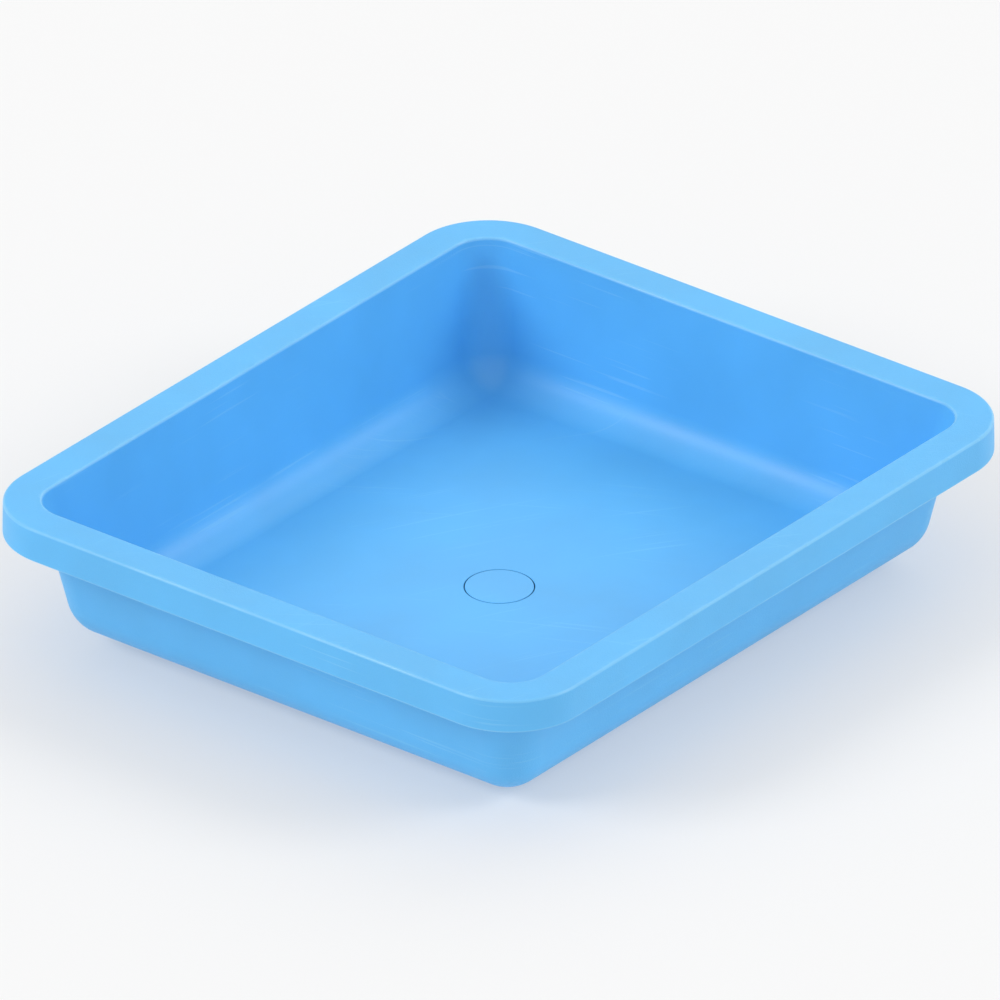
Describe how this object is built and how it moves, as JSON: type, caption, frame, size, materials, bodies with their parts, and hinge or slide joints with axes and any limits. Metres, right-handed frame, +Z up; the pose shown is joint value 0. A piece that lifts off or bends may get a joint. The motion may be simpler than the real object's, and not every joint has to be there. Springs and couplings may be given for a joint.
{
  "type": "mud pan",
  "caption": "Shallow moulded pan with drafted walls, rounded corners, a flat turned-down rim and a flush push-in drain plug in the floor.",
  "frame": {"origin": "on the ground, under the centre of the pan", "axes": "+X across the pan's width, +Y along its length, +Z up out of the pan's mouth and along the drain's axis"},
  "size_m": [0.5, 0.5764, 0.1159],
  "materials": {
    "pan_plastic": "satin moulded polypropylene, sky blue, fine mould texture",
    "plug_plastic": "the same blue polypropylene, turned face a little smoother",
    "seal_rubber": "black nitrile rubber, dull"
  },
  "bodies": {
    "pan": {"pan_body": "pan_plastic"},
    "plug": {"drain_plug": "plug_plastic", "plug_seal": "seal_rubber"}
  },
  "joints": [
    {"name": "plug_lift", "type": "slide", "parent": "pan", "child": "plug", "axis": [0, 0, 1], "range_m": [0, 0.13]}
  ]
}
